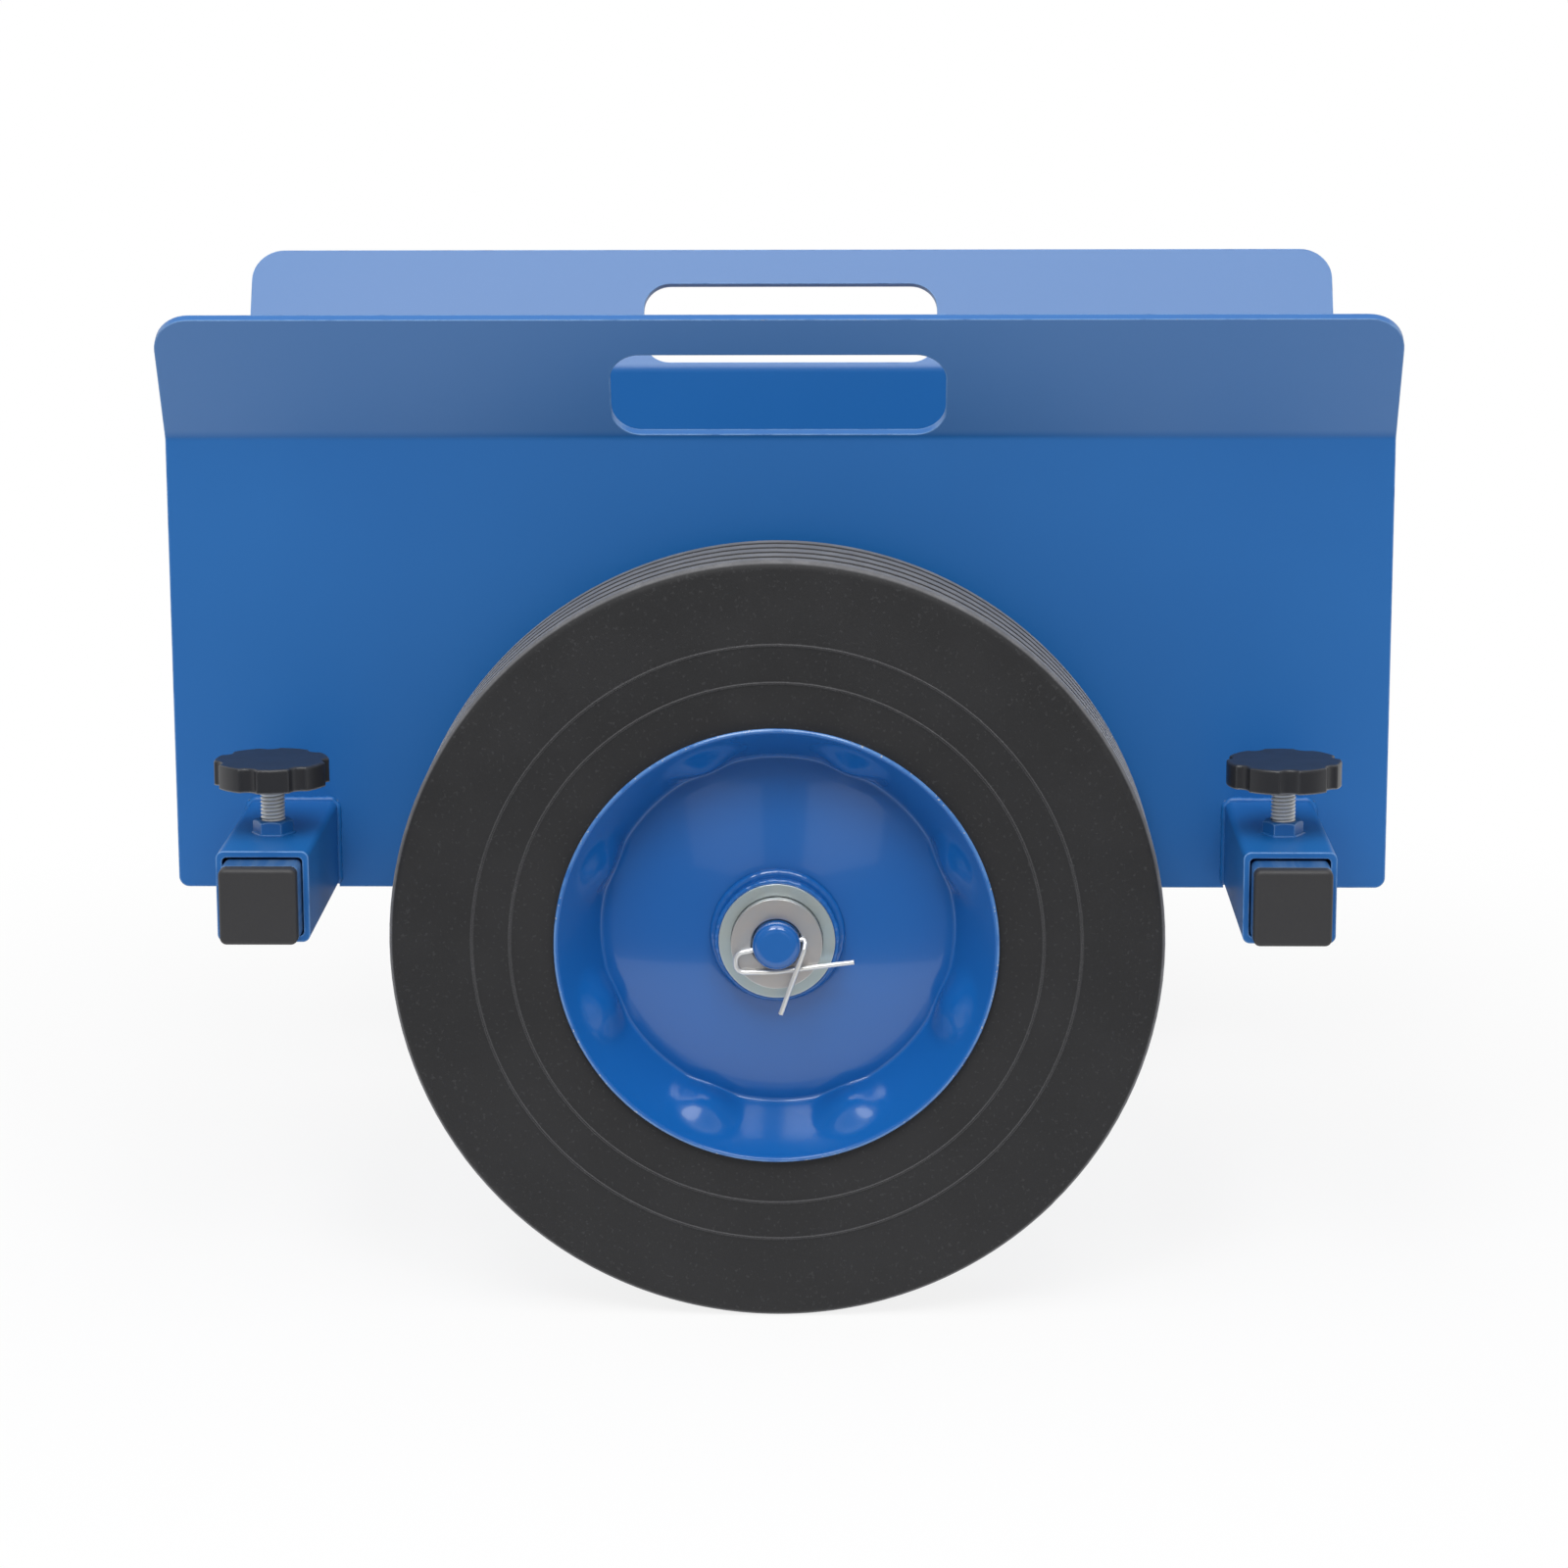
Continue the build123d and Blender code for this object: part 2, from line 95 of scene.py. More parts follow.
def srgb(*screen: int) -> Colour:
    """Turns a colour as seen on a screen into the linear one that shaders use.

    Args:
        screen: Red, green and blue from 0 to 255.

    Returns:
        The linear colour with full alpha.
    """
    linear = []
    for value in screen:
        part = value / 255
        linear.append(part / 12.92 if part <= 0.04045 else ((part + 0.055) / 1.055) ** 2.4)
    return (*linear, 1.0)


class End(Enum):
    """The two halves of the dolly."""

    FRONT = "front"
    REAR = "rear"

    @property
    def outward(self) -> float:
        """The way along Y that points away from the load."""
        return -1.0 if self is End.FRONT else 1.0


class Side(Enum):
    """The two clamps, as seen from the front."""

    LEFT = "left"
    RIGHT = "right"


@dataclass(frozen=True)
class Grain:
    """Cloudy noise: the size of its features in metres, and the finer layers on them."""

    size: float
    layers: float = 2.0
    rough: float = 0.5


class Shade:
    """An output socket of a shader node, which takes part in plain arithmetic."""

    def __init__(self, graph: Graph, node: bpy.types.Node, key: str | int = 0) -> None:
        """Keeps the graph, the node and the name or number of its output."""
        self.graph = graph
        self.node = node
        self.key = key

    @property
    def socket(self) -> bpy.types.NodeSocket:
        """The socket itself."""
        return self.node.outputs[self.key]

    def out(self, key: str | int) -> Shade:
        """Another output of the same node."""
        return Shade(self.graph, self.node, key)

    def maths(self, operation: str, *values: Shade | float) -> Shade:
        """The result of a Math node with this operation and these values."""
        inputs = dict(enumerate(values))
        return self.graph.add("ShaderNodeMath", {"operation": operation}, inputs)

    def __add__(self, other: Shade | float) -> Shade:
        """This value plus another."""
        return self.maths("ADD", self, other)

    def __radd__(self, other: float) -> Shade:
        """A number plus this value."""
        return self.maths("ADD", other, self)

    def __sub__(self, other: Shade | float) -> Shade:
        """This value minus another."""
        return self.maths("SUBTRACT", self, other)

    def __rsub__(self, other: float) -> Shade:
        """A number minus this value."""
        return self.maths("SUBTRACT", other, self)

    def __mul__(self, other: Shade | float) -> Shade:
        """This value times another."""
        return self.maths("MULTIPLY", self, other)

    def __rmul__(self, other: float) -> Shade:
        """A number times this value."""
        return self.maths("MULTIPLY", other, self)

    def at_least(self, other: Shade | float) -> Shade:
        """The larger of this value and another."""
        return self.maths("MAXIMUM", self, other)

    def absolute(self) -> Shade:
        """This value without its sign."""
        return self.maths("ABSOLUTE", self)

    def fraction(self) -> Shade:
        """What this value has past the whole number below it."""
        return self.maths("FRACT", self)

    def between(self, low: float, high: float) -> Shade:
        """A smooth rise from 0 where this value is the low one to 1 where it is the high one."""
        inputs = {"Value": self, "From Min": low, "From Max": high, "To Min": 0.0, "To Max": 1.0}
        settings = {"interpolation_type": "SMOOTHSTEP"}
        return self.graph.add("ShaderNodeMapRange", settings, inputs)


class Graph:
    """Builds the node tree of a material or of the world."""

    def __init__(self, tree: bpy.types.NodeTree) -> None:
        """Starts from an empty tree."""
        self.tree = tree
        tree.nodes.clear()

    def add(self, kind: str, settings: Values | None = None, inputs: Values | None = None) -> Shade:
        """Adds a node.

        Args:
            kind: The node's type name.
            settings: Attributes that are set first.
            inputs: Values or links by socket name or number.

        Returns:
            The node's first output.
        """
        node = self.tree.nodes.new(kind)
        for name, value in (settings or {}).items():
            setattr(node, name, value)
        for key, value in (inputs or {}).items():
            if isinstance(value, Shade):
                self.tree.links.new(value.socket, node.inputs[key])
            else:
                node.inputs[key].default_value = value
        return Shade(self, node)

    def mix(self, factor: Shade | float, first: Shade | Colour, second: Shade | Colour) -> Shade:
        """A mix of two colours, where a factor of 0 gives the first and 1 the second."""
        inputs = {0: factor, 6: first, 7: second}
        return self.add("ShaderNodeMix", {"data_type": "RGBA"}, inputs).out(2)

    def vector(self, operation: str, *values: Shade | Point) -> Shade:
        """The result of a Vector Math node with this operation and these values."""
        inputs = dict(enumerate(values))
        return self.add("ShaderNodeVectorMath", {"operation": operation}, inputs)

    def place(self) -> Shade:
        """The point on the piece in metres, in the dolly's own frame at rest."""
        return self.add("ShaderNodeTexCoord").out("Object")

    def facing(self, normal: str) -> Shade:
        """The surface's normal, smooth or true, by the name of its socket."""
        return self.add("ShaderNodeNewGeometry").out(normal)

    def parts(self, vector: Shade) -> Shade:
        """A vector split into X, Y and Z."""
        return self.add("ShaderNodeSeparateXYZ", None, {0: vector})

    def from_axle(self, where: Shade, axle_height: float) -> Shade:
        """How far a point is from the axis of its wheel, which is this high above the floor."""
        spot = self.vector("MULTIPLY_ADD", where, (1.0, 0.0, 1.0), (0.0, 0.0, -axle_height))
        return self.vector("LENGTH", spot).out("Value")

    def noise(self, where: Shade, grain: Grain) -> Shade:
        """Cloudy noise from 0 to 1, read at a point."""
        inputs = {"Vector": where, "Scale": 1 / grain.size}
        inputs |= {"Detail": grain.layers, "Roughness": grain.rough}
        return self.add("ShaderNodeTexNoise", None, inputs).out("Fac")

    def rounded(self, radius: float) -> Shade:
        """The normal with sharp edges rounded off by a radius in metres."""
        settings = {"samples": BEVEL_SAMPLES}
        return self.add("ShaderNodeBevel", settings, {"Radius": radius}).out("Normal")

    def edges(self, radius: float) -> Shade:
        """How close the surface is to an edge of this reach, from 0 on a flat to about 1 on it."""
        alike = self.vector("DOT_PRODUCT", self.rounded(radius), self.facing("Normal")).out("Value")
        return (1 - alike).between(*EDGE_BAND)

    def bump(self, height: Shade, depth: float, strength: float, radius: float) -> Shade:
        """A bumped normal, on edges that are rounded off.

        Args:
            height: Height from 0 to 1.
            depth: What a height of 1 stands for, in metres.
            strength: How much of it shows.
            radius: Rounding of sharp edges, in metres.

        Returns:
            The normal.
        """
        inputs = {"Height": height, "Distance": depth, "Strength": strength}
        inputs["Normal"] = self.rounded(radius)
        return self.add("ShaderNodeBump", None, inputs).out("Normal")

    def rays(self) -> tuple[Shade, Shade]:
        """Which rays come straight from the camera, and which are mirrored or pass through."""
        path = self.add("ShaderNodeLightPath")
        mirrored = path.out("Is Glossy Ray").at_least(path.out("Is Transmission Ray"))
        return path.out("Is Camera Ray"), mirrored

    def close(self, inputs: Values) -> None:
        """Ends a material with its surface shader, by the values or links of its sockets."""
        surface = self.add("ShaderNodeBsdfPrincipled", None, inputs).out("BSDF")
        self.add("ShaderNodeOutputMaterial", None, {"Surface": surface})


def new_material(name: str) -> tuple[Material, Graph]:
    """Makes an empty node material.

    Args:
        name: The material's name.

    Returns:
        The material and the graph that builds it.
    """
    material = bpy.data.materials.new(name)
    material.use_nodes = True
    return material, Graph(material.node_tree)


@dataclass(frozen=True)
class PowderCoat:
    """Blue stoved powder coat on steel: slightly rippled and chipped, paler along its edges as wear
    and painted highlight, with a painted reflection on the flanges.
    """

    name: str
    colour: Colour
    pale: Colour
    roughness: float
    ripple_strength: float
    edge_radius: float
    coat: float
    coat_roughness: float
    chips: float
    ripple: Grain = Grain(2.2 * MM, 1.5, 0.45)
    ripple_depth: float = 0.12 * MM
    edge_wear_and_highlight: float = 0.75
    rubbed: float = 0.0
    lip_radius: float = 0.0
    axle_height: float = 0.0
    flange_foot: float = 0.0

    cloud = Grain(120 * MM, 3.0)
    cloud_band = (0.3, 0.75)
    cloud_share = 0.5
    cloud_dull = 0.08
    wear_and_highlight_noise = Grain(6 * MM, 3.0)
    wear_and_highlight_band = (0.2, 0.55)
    wear_and_highlight_colour = srgb(140, 184, 234)
    speck = Grain(1.6 * MM, 3.0, 0.6)
    chip_edge = (0.55, 0.9)
    chip_band = (0.72, 0.76)
    chip_share = 0.85
    chip_dull = 0.25
    chip_colour = srgb(168, 172, 172)
    lip_width = 0.6 * MM
    bend_width = 1.5 * MM
    cut_edge = (0.6, 0.8)
    flange_reflection_least = 0.75
    flange_reflection_cloud = 0.4
    flange_reflection_colour = srgb(69, 119, 179)
    streak = Grain(2.5 * MM, 4.0, 0.65)
    streak_draw = (1.0, 0.05, 1.0)
    streak_band = (0.38, 0.68)
    streak_colour = srgb(110, 137, 168)

    def lip(self, graph: Graph, where: Shade) -> Shade:
        """How much a point lies on the outer lip of a wheel disc, painted paler as wear and painted
        highlight, from 0 to 1.
        """
        radius = graph.from_axle(where, self.axle_height)
        return radius.between(self.lip_radius - self.lip_width, self.lip_radius)

    def flange_reflection(self, graph: Graph, where: Shade) -> Shade:
        """How much a point lies on a face of the bent flanges, which carry a painted reflection of
        the floor and lamps.

        Args:
            graph: The material's graph.
            where: The point.

        Returns:
            0 below the bend and on the cut edges, 1 on the faces above it.
        """
        height = graph.parts(where).out("Z")
        upward = graph.parts(graph.facing("True Normal")).out("Z").absolute()
        below, above = self.flange_foot - self.bend_width, self.flange_foot + self.bend_width
        return (1 - upward.between(*self.cut_edge)) * height.between(below, above)

    def streaks(self, graph: Graph, where: Shade) -> Shade:
        """How much the paint is rubbed at a point of a slide tube, in marks along the tube."""
        drawn = graph.vector("MULTIPLY", where, self.streak_draw)
        return graph.noise(drawn, self.streak).between(*self.streak_band)

    def material(self) -> Material:
        """Builds the finish."""
        material, graph = new_material(self.name)
        where = graph.place()
        cloud = graph.noise(where, self.cloud)
        ripple = graph.noise(where, self.ripple)
        speck = graph.noise(where, self.speck)
        edge = graph.edges(self.edge_radius)
        if self.lip_radius:
            edge = edge.at_least(self.lip(graph, where))
        # Pale edges and disc lip: partly real wear, partly painted highlight where rounded edges
        # would catch the lamps.
        worn_and_highlit = edge * graph.noise(where, self.wear_and_highlight_noise).between(*self.wear_and_highlight_band)
        first, full = (level - self.chips for level in self.chip_band)
        chip = edge.between(*self.chip_edge) * speck.between(first, full)
        tone = graph.mix(cloud.between(*self.cloud_band) * self.cloud_share, self.colour, self.pale)
        # Painted reflection: the flanges' faces are painted paler and greyer, standing in for the
        # floor, surround and lamps that they mirror.
        if self.flange_foot:
            painted_reflection = self.flange_reflection(graph, where) * (self.flange_reflection_least + cloud * self.flange_reflection_cloud)
            tone = graph.mix(painted_reflection, tone, self.flange_reflection_colour)
        if self.rubbed:
            tone = graph.mix(self.streaks(graph, where) * self.rubbed, tone, self.streak_colour)
        # Edges painted pale as wear and painted highlight.
        lit = graph.mix(worn_and_highlit * self.edge_wear_and_highlight, tone, self.wear_and_highlight_colour)
        dull = (cloud - 0.5) * self.cloud_dull + chip * self.chip_dull
        radius = self.edge_radius * EDGE_ROUNDING
        surface = {
            "Base Color": graph.mix(chip * self.chip_share, lit, self.chip_colour),
            "Roughness": self.roughness + dull,
            "Coat Weight": self.coat,
            "Coat Roughness": self.coat_roughness,
            "Normal": graph.bump(ripple, self.ripple_depth, self.ripple_strength, radius),
        }
        graph.close(surface)
        return material


@dataclass(frozen=True)
class TyreRubber:
    """Dark grey solid rubber, mottled on the sidewalls, and paler on the ribs and edges as dust and
    as painted sheen.
    """

    name: str
    axle_height: float
    tread_radius: float
    middle: float

    colour = srgb(31, 31, 33)
    pale = srgb(39, 39, 41)
    groove_pitch = 9.6 * MM
    groove_side = (0.15, 0.2)
    outer_rib = (1.9, 2.0)
    rib_depths = (1.4 * MM, 0.6 * MM)
    mottle = Grain(28 * MM, 5.0, 0.62)
    mottle_band = (0.35, 0.7)
    mottle_share = 0.6
    mottle_dull = 0.16
    grain = Grain(1.1 * MM, 3.0, 0.6)
    grain_share = 0.12
    grain_dull = 0.08
    grain_height = 0.6
    scuff = Grain(7 * MM, 4.0, 0.65)
    scuff_band = (0.4, 0.75)
    scuff_height = 0.4
    speck = Grain(1.2 * MM)
    speck_band = (0.6, 0.72)
    edge_radius = 0.9 * MM
    edge_dust_and_sheen = 0.42
    rib_dust_and_sheen = 0.55
    scuff_dust_and_sheen = 0.25
    speck_dust = 0.07
    dust_and_sheen_colour = srgb(128, 128, 131)
    roughness = 0.56
    specular = 0.42
    sheen = 0.3
    sheen_roughness = 0.35
    bump_depth = 0.25 * MM
    bump_strength = 0.32
    rounding = 0.5 * MM

    def ribs(self, along: Shade, radius: Shade) -> Shade:
        """How much a point lies on the top of a tread rib, between the four grooves.

        Args:
            along: Place along the wheel's axis.
            radius: Distance from that axis.

        Returns:
            0 in a groove or on a sidewall, 1 on a rib.
        """
        pitches = (along - self.middle) * (1 / self.groove_pitch)
        outer = pitches.absolute().between(*self.outer_rib)
        clear = (pitches.fraction() - 0.5).absolute().between(*self.groove_side)
        foot, top = (self.tread_radius - depth for depth in self.rib_depths)
        return clear.at_least(outer) * radius.between(foot, top)

    def material(self) -> Material:
        """Builds the finish."""
        material, graph = new_material(self.name)
        where = graph.place()
        mottle = graph.noise(where, self.mottle)
        grain = graph.noise(where, self.grain)
        scuff = graph.noise(where, self.scuff)
        speck = graph.noise(where, self.speck).between(*self.speck_band)
        edge = graph.edges(self.edge_radius)
        rib = self.ribs(graph.parts(where).out("Y"), graph.from_axle(where, self.axle_height))
        rib_dust_and_sheen = self.rib_dust_and_sheen + scuff.between(*self.scuff_band) * self.scuff_dust_and_sheen
        # Paler ribs and edges: partly dust, partly painted sheen and highlight where the rounded
        # ribs and rings would catch the lamps.
        dust_and_sheen = edge * self.edge_dust_and_sheen + rib * rib_dust_and_sheen + speck * self.speck_dust
        patches = mottle.between(*self.mottle_band) * self.mottle_share + grain * self.grain_share
        tone = graph.mix(patches, self.colour, self.pale)
        relief = grain * self.grain_height + scuff * self.scuff_height
        surface = {
            "Base Color": graph.mix(dust_and_sheen, tone, self.dust_and_sheen_colour),
            "Roughness": self.roughness + mottle * self.mottle_dull + grain * self.grain_dull,
            "Specular IOR Level": self.specular,
            "Sheen Weight": self.sheen,
            "Sheen Roughness": self.sheen_roughness,
            "Normal": graph.bump(relief, self.bump_depth, self.bump_strength, self.rounding),
        }
        graph.close(surface)
        return material


@dataclass(frozen=True)
class ZincPlate:
    """Zinc plating over steel, satin with faint cool and warm clouds, a painted highlight on its
    edges and, given a reach, painted shade in its crevices.
    """

    name: str
    cool: Colour
    warm: Colour
    roughness: float
    grain: Grain = Grain(0.5 * MM, 4.0, 0.65)
    crevice_shade_reach: float = 0.0
    metallic: float = 1.0

    grain_dull = 0.14
    grain_depth = 0.06 * MM
    grain_strength = 0.25
    cloud = Grain(9 * MM, 3.0)
    cloud_band = (0.3, 0.7)
    cloud_dull = 0.06
    edge_radius = 0.5 * MM
    edge_highlight_share = 0.75
    edge_highlight_colour = srgb(240, 242, 242)
    crevice_shade_band = (0.34, 0.8)
    crevice_shade_colour = srgb(40, 43, 47)

    def material(self) -> Material:
        """Builds the finish."""
        material, graph = new_material(self.name)
        where = graph.place()
        cloud = graph.noise(where, self.cloud)
        grain = graph.noise(where, self.grain)
        edge = graph.edges(self.edge_radius)
        tone = graph.mix(cloud.between(*self.cloud_band), self.cool, self.warm)
        # Painted highlight: sharp edges are painted near-white.
        colour = graph.mix(edge * self.edge_highlight_share, tone, self.edge_highlight_colour)
        # Painted shade: where ambient occlusion finds the surface closed in, as in the thread's
        # roots, it is painted dark.
        if self.crevice_shade_reach:
            settings, inputs = {"samples": CREVICE_SHADE_SAMPLES}, {"Distance": self.crevice_shade_reach}
            open_sky = graph.add("ShaderNodeAmbientOcclusion", settings, inputs).out("AO")
            colour = graph.mix(open_sky.between(*self.crevice_shade_band), self.crevice_shade_colour, colour)
        radius = self.edge_radius * EDGE_ROUNDING
        surface = {
            "Base Color": colour,
            "Metallic": self.metallic,
            "Roughness": self.roughness + (grain - 0.5) * self.grain_dull + cloud * self.cloud_dull,
            "Normal": graph.bump(grain, self.grain_depth, self.grain_strength, radius),
        }
        graph.close(surface)
        return material


@dataclass(frozen=True)
class MouldedPlastic:
    """Moulded plastic with a fine grain, and a painted highlight along its edges."""

    name: str
    colour: Colour
    pale: Colour
    edge_highlight_colour: Colour
    roughness: float
    grain: Grain
    grain_depth: float
    edge_radius: float
    edge_wear_and_highlight: float = 0.35

    grain_share = 0.5
    grain_dull = 0.06
    grain_strength = 0.3
    cloud = Grain(11 * MM, 3.0)
    cloud_edge_highlight = 0.5
    cloud_dull = 0.12

    def material(self) -> Material:
        """Builds the finish."""
        material, graph = new_material(self.name)
        where = graph.place()
        grain = graph.noise(where, self.grain)
        cloud = graph.noise(where, self.cloud)
        edge = graph.edges(self.edge_radius)
        # Painted highlight: edges are painted pale, unevenly, where they would catch the lamps.
        worn_and_highlit = edge * (self.edge_wear_and_highlight + cloud * self.cloud_edge_highlight)
        tone = graph.mix(grain * self.grain_share, self.colour, self.pale)
        radius = self.edge_radius * EDGE_ROUNDING
        surface = {
            "Base Color": graph.mix(worn_and_highlit, tone, self.edge_highlight_colour),
            "Roughness": self.roughness + (cloud - 0.5) * self.cloud_dull + grain * self.grain_dull,
            "Normal": graph.bump(grain, self.grain_depth, self.grain_strength, radius),
        }
        graph.close(surface)
        return material


class Finishes:
    """All the finishes of the dolly, made once."""

    def __init__(self, axle_height: float, tyre_radius: float, flange_foot: float) -> None:
        """Makes the materials.

        Args:
            axle_height: Height of the wheel axis above the floor.
            tyre_radius: Radius of the tread.
            flange_foot: Height of the bend that the flanges start from.
        """
        self.frame = PowderCoat(
            name="frame_powder_coat", colour=srgb(17, 97, 168), pale=srgb(22, 103, 174),
            roughness=0.42, ripple_strength=0.26, edge_radius=1.0 * MM,
            coat=0.18, coat_roughness=0.4, chips=0.05, flange_foot=flange_foot,
        ).material()
        self.rim = PowderCoat(
            name="wheel_disc_paint", colour=srgb(19, 91, 165), pale=srgb(24, 97, 171),
            roughness=0.2, ripple_strength=0.12, edge_radius=0.6 * MM,
            coat=0.62, coat_roughness=0.06, chips=0.1,
            ripple=Grain(6 * MM, 1.5, 0.45), ripple_depth=0.1 * MM, edge_wear_and_highlight=0.3,
            lip_radius=72.2 * MM, axle_height=axle_height,
        ).material()
        self.tube = PowderCoat(
            name="tube_rubbed_paint", colour=srgb(40, 92, 150), pale=srgb(58, 100, 148),
            roughness=0.34, ripple_strength=0.14, edge_radius=0.9 * MM,
            coat=0.3, coat_roughness=0.3, chips=0.12, rubbed=0.42,
        ).material()
        self.rubber: dict[End, Material] = {}
        for end in End:
            middle = sum(corner.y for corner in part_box(f"{end.value}_tyre")) / 2
            rubber = TyreRubber(f"{end.value}_tyre_rubber", axle_height, tyre_radius, middle)
            self.rubber[end] = rubber.material()
        self.zinc = ZincPlate(
            name="zinc_plate", cool=srgb(202, 218, 223), warm=srgb(206, 217, 216),
            roughness=0.4, grain=Grain(0.7 * MM, 4.0, 0.65),
        ).material()
        self.washer = ZincPlate(
            name="zinc_washer", cool=srgb(206, 208, 212), warm=srgb(213, 209, 207), roughness=0.38
        ).material()
        self.thread = ZincPlate(
            name="zinc_thread", cool=srgb(242, 245, 247), warm=srgb(244, 244, 240),
            roughness=0.42, grain=Grain(0.4 * MM, 4.0, 0.65), crevice_shade_reach=0.9 * MM, metallic=0.3,
        ).material()
        self.wire = ZincPlate(
            name="bright_wire", cool=srgb(222, 224, 226), warm=srgb(228, 227, 222),
            roughness=0.3, metallic=0.6,
        ).material()
        self.knob = MouldedPlastic(
            name="knob_plastic", colour=srgb(33, 34, 38), pale=srgb(44, 45, 49),
            edge_highlight_colour=srgb(168, 170, 174), roughness=0.34, grain=Grain(0.6 * MM, 3.0, 0.6),
            grain_depth=0.04 * MM, edge_radius=1.1 * MM, edge_wear_and_highlight=0.6,
        ).material()
        self.cap = MouldedPlastic(
            name="cap_plastic", colour=srgb(46, 46, 48), pale=srgb(58, 58, 60),
            edge_highlight_colour=srgb(112, 112, 114), roughness=0.5, grain=Grain(0.9 * MM, 3.0, 0.6),
            grain_depth=0.08 * MM, edge_radius=0.9 * MM,
        ).material()


def loft_faces(rows: int, size: int, closed: bool, wrapped: bool = True) -> list[Face]:
    """Faces between rings of vertices that follow one another.

    Args:
        rows: Number of rings.
        size: Number of vertices in each ring.
        closed: Whether the last ring is joined to the first; if not, both ends are capped.
        wrapped: Whether each ring's last vertex is joined to its first.

    Returns:
        The vertex numbers of each face.
    """
    spots = size if wrapped else size - 1
    faces: list[Face] = []
    for row in range(rows if closed else rows - 1):
        here, there = row * size, (row + 1) % rows * size
        for spot in range(spots):
            beside = (spot + 1) % size
            faces.append((here + spot, here + beside, there + beside, there + spot))
    if not closed:
        for start in (0, (rows - 1) * size):
            faces.append(tuple(range(start, start + spots)))
    return faces


def new_piece(
    name: str, corners: Sequence[Vector], faces: Sequence[Face],
    material: Material, body: str,
) -> Object:
    """Makes a smooth mesh piece that rides on a body.

    Args:
        name: The piece's name.
        corners: Vertices in metres, in the dolly's frame.
        faces: Vertex numbers of each face.
        material: The piece's finish.
        body: The body that it rides on.

    Returns:
        The piece.
    """
    mesh = bpy.data.meshes.new(name)
    shape = bmesh.new()
    made = [shape.verts.new(corner) for corner in corners]
    for face in faces:
        shape.faces.new([made[index] for index in face])
    bmesh.ops.remove_doubles(shape, verts=shape.verts, dist=MERGE_DISTANCE)
    bmesh.ops.dissolve_degenerate(shape, edges=shape.edges, dist=MERGE_DISTANCE)
    bmesh.ops.recalc_face_normals(shape, faces=shape.faces)
    for face in shape.faces:
        face.smooth = True
    shape.to_mesh(mesh)
    shape.free()
    mesh.materials.append(material)
    obj = bpy.data.objects.new(name, mesh)
    bpy.context.scene.collection.objects.link(obj)
    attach(obj, body)
    LOG.info("made %s on %s, %d faces", name, body, len(mesh.polygons))
    return obj


@dataclass(frozen=True)
class WeldBead:
    """A painted weld bead laid along a flat path: overlapping crescents of uneven size."""

    radius: float
    ripple_pitch: float
    ripple_depth: float = 0.16
    ripple_lag = 0.6
    wander: float = 0.14
    waves = ((610.0, 0.0), (1370.0, 1.3), (233.0, 0.4))
    flatness = 0.8
    end_size = 0.25
    end_steps = 4
    sectors = 12
    step: float = 0.45 * MM

    def sample(self, path: Sequence[Vector], closed: bool) -> list[Vector]:
        """Points at even steps along a path.

        Args:
            path: The path's points.
            closed: Whether it ends where it starts.

        Returns:
            The points, without the repeated last one if closed.
        """
        points = list(path) + ([path[0]] if closed else [])
        lengths = [(after - before).length for before, after in zip(points, points[1:])]
        total = sum(lengths)
        count = max(4, round(total / self.step))
        found, leg, passed = [], 0, 0.0
        for index in range(count if closed else count + 1):
            target = total * index / count
            while leg < len(lengths) - 1 and passed + lengths[leg] < target:
                passed += lengths[leg]
                leg += 1
            found.append(points[leg].lerp(points[leg + 1], (target - passed) / lengths[leg]))
        return found

    def lay(
        self, name: str, path: Sequence[Vector], normal: Vector, closed: bool,
        material: Material, body: str,
    ) -> None:
        """Builds the bead.

        Args:
            name: The piece's name.
            path: Its middle line, in a plane.
            normal: The plane's normal, out of the metal.
            closed: Whether the bead is a ring.
            material: Its finish.
            body: The body that it rides on.
        """
        points = self.sample(path, closed)
        count = len(points)
        corners: list[Vector] = []
        for index, point in enumerate(points):
            before = points[index - 1] if closed or index else point
            after = points[(index + 1) % count] if closed or index < count - 1 else point
            side = (after - before).normalized().cross(normal)
            run = index * self.step
            uneven = sum(math.sin(run * rate + start) for rate, start in self.waves)
            size = self.radius * (1 + self.wander * uneven / len(self.waves))
            if not closed:
                from_end = min(index, count - 1 - index) / self.end_steps
                size *= min(1.0, self.end_size + (1 - self.end_size) * from_end)
            for sector in range(self.sectors):
                turn = math.tau * sector / self.sectors
                lag = self.ripple_lag * self.ripple_pitch * math.cos(turn)
                crescent = 1 - ((run + lag) / self.ripple_pitch) % 1.0
                reach = size * (1 + self.ripple_depth * (crescent - 0.5))
                way = normal * math.cos(turn) * self.flatness + side * math.sin(turn)
                corners.append(point + way * reach)
        faces = loft_faces(count, self.sectors, closed)
        new_piece(name, corners, faces, material, body)


def ring_path(centre: Vector, radius: float, count: int = 96) -> list[Vector]:
    """A number of points round a circle in an upright plane across the wheel axis."""
    turns = [math.tau * step / count for step in range(count)]
    return [centre + Vector((math.cos(turn), 0, math.sin(turn))) * radius for turn in turns]


def box_path(low: Vector, high: Vector, plane: float, corner: float) -> list[Vector]:
    """Points round a rectangle with cut corners, in an upright plane across Y.

    Args:
        low: Lowest corner of the box that it goes round.
        high: Highest corner of that box.
        plane: Place of the plane along Y.
        corner: Length cut off each corner.

    Returns:
        The points, from the lower left corner up and round.
    """
    left, right, bottom, top = low.x, high.x, low.z, high.z
    outline = (
        (left, bottom + corner), (left, top - corner),
        (left + corner, top), (right - corner, top),
        (right, top - corner), (right, bottom + corner),
        (right - corner, bottom), (left + corner, bottom),
    )
    return [Vector((x, plane, z)) for x, z in outline]


